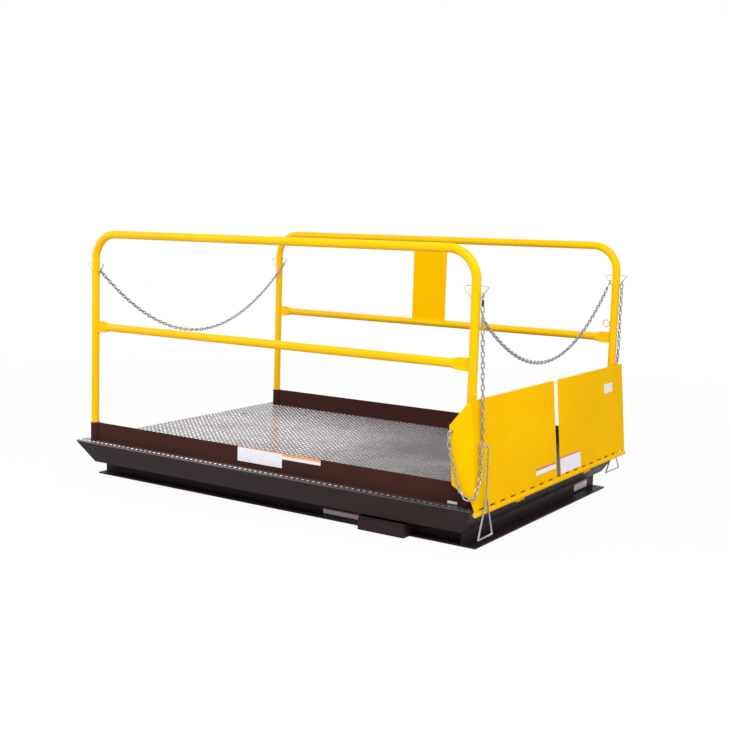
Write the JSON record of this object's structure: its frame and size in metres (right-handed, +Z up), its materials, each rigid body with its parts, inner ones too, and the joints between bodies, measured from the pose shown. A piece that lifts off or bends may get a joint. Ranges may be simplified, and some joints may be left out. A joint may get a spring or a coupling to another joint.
{
  "type": "scissor dock lift",
  "caption": "Low steel scissor lift platform with side handrails, kick plates, safety chains and a two-leaf fold-down bridge.",
  "frame": {"origin": "on the floor under the centre of the deck, centre of the four floor anchor holes", "axes": "+X along the deck to the bridge end, -Y the near long side in the picture, +Z up from the floor"},
  "size_m": [2.485, 2.0158, 1.3661],
  "materials": {
    "yellow_paint": "gloss safety yellow",
    "brown_paint": "semi-gloss dark brown",
    "frame_paint": "semi-gloss very dark brown",
    "deck_paint": "worn grey-brown tread plate",
    "zinc_steel": "zinc plated",
    "bare_steel": "bare ground steel",
    "cylinder_paint": "satin dark grey"
  },
  "bodies": {
    "base": {"base_angle_near": "frame_paint", "base_angle_far": "frame_paint", "base_end_bridge": "frame_paint", "base_end_open": "frame_paint", "base_tracks": "frame_paint", "base_cross_bars": "frame_paint", "base_pivot_lugs": "frame_paint", "base_pivot_pins": "bare_steel", "entry_box": "frame_paint"},
    "outer_legs": {"outer_leg_near": "frame_paint", "outer_leg_far": "frame_paint", "outer_cross_tubes": "frame_paint", "centre_pins": "bare_steel", "upper_rollers": "bare_steel"},
    "inner_legs": {"inner_leg_near": "frame_paint", "inner_leg_far": "frame_paint", "inner_cross_tubes": "frame_paint", "lower_rollers": "bare_steel"},
    "platform": {"deck_plate": "deck_paint", "deck_ribs": "frame_paint", "deck_channels": "frame_paint", "deck_end_members": "frame_paint", "deck_pivot_lugs": "frame_paint", "deck_pivot_pins": "bare_steel", "toe_guard_near": "frame_paint", "toe_guard_far": "frame_paint", "toe_guard_open": "frame_paint", "toe_guard_bridge": "frame_paint", "rail_sockets": "brown_paint", "kick_plate_near": "brown_paint", "kick_plate_far": "brown_paint", "rail_hoop_near": "yellow_paint", "rail_hoop_far": "yellow_paint", "mid_rail_near": "yellow_paint", "mid_rail_far": "yellow_paint", "rail_panel": "yellow_paint", "chain_hooks": "zinc_steel", "parking_ring": "zinc_steel", "open_end_chain": "zinc_steel", "bridge_end_chain": "zinc_steel", "lift_chain_near": "zinc_steel", "lift_chain_far": "zinc_steel", "pull_handle_near": "zinc_steel", "pull_handle_far": "zinc_steel", "hinge_strip": "yellow_paint", "hinge_rods": "bare_steel"},
    "bridge_near": {"bridge_leaf_near": "yellow_paint"},
    "bridge_far": {"bridge_leaf_far": "yellow_paint"},
    "cylinder_barrels": {"cylinder_barrels": "cylinder_paint"},
    "cylinder_rods": {"cylinder_rods": "bare_steel"}
  },
  "joints": [
    {"name": "lift", "type": "hinge", "parent": "base", "child": "outer_legs", "pos_m": [1.065, 0, 0.0503], "axis": [0, 1, 0], "range_deg": [0, 46]},
    {"name": "leg_cross", "type": "hinge", "parent": "outer_legs", "child": "inner_legs", "pos_m": [0.016, 0, 0.1015], "axis": [0, 1, 0], "range_deg": [-92, 0]},
    {"name": "deck_pivot", "type": "hinge", "parent": "inner_legs", "child": "platform", "pos_m": [1.065, 0, 0.1527], "axis": [0, 1, 0], "range_deg": [0, 46]},
    {"name": "barrel_pivot", "type": "hinge", "parent": "outer_legs", "child": "cylinder_barrels", "pos_m": [0.76536, 0, 0.06492], "axis": [0, 1, 0], "range_deg": [-46, 0]},
    {"name": "rod_pivot", "type": "hinge", "parent": "inner_legs", "child": "cylinder_rods", "pos_m": [-0.73336, 0, 0.06492], "axis": [0, 1, 0], "range_deg": [0, 46]},
    {"name": "bridge_near", "type": "hinge", "parent": "platform", "child": "bridge_near", "pos_m": [1.243, 0, 0.191], "axis": [0, 1, 0], "range_deg": [0, 100], "deforming": ["lift_chain_near", "pull_handle_near"]},
    {"name": "bridge_far", "type": "hinge", "parent": "platform", "child": "bridge_far", "pos_m": [1.243, 0, 0.191], "axis": [0, 1, 0], "range_deg": [0, 100], "deforming": ["lift_chain_far"]}
  ],
  "couplings": [
    {"joint": "leg_cross", "follows": "lift", "ratio": -2},
    {"joint": "deck_pivot", "follows": "lift", "ratio": 1},
    {"joint": "barrel_pivot", "follows": "lift", "ratio": -1},
    {"joint": "rod_pivot", "follows": "lift", "ratio": 1}
  ]
}
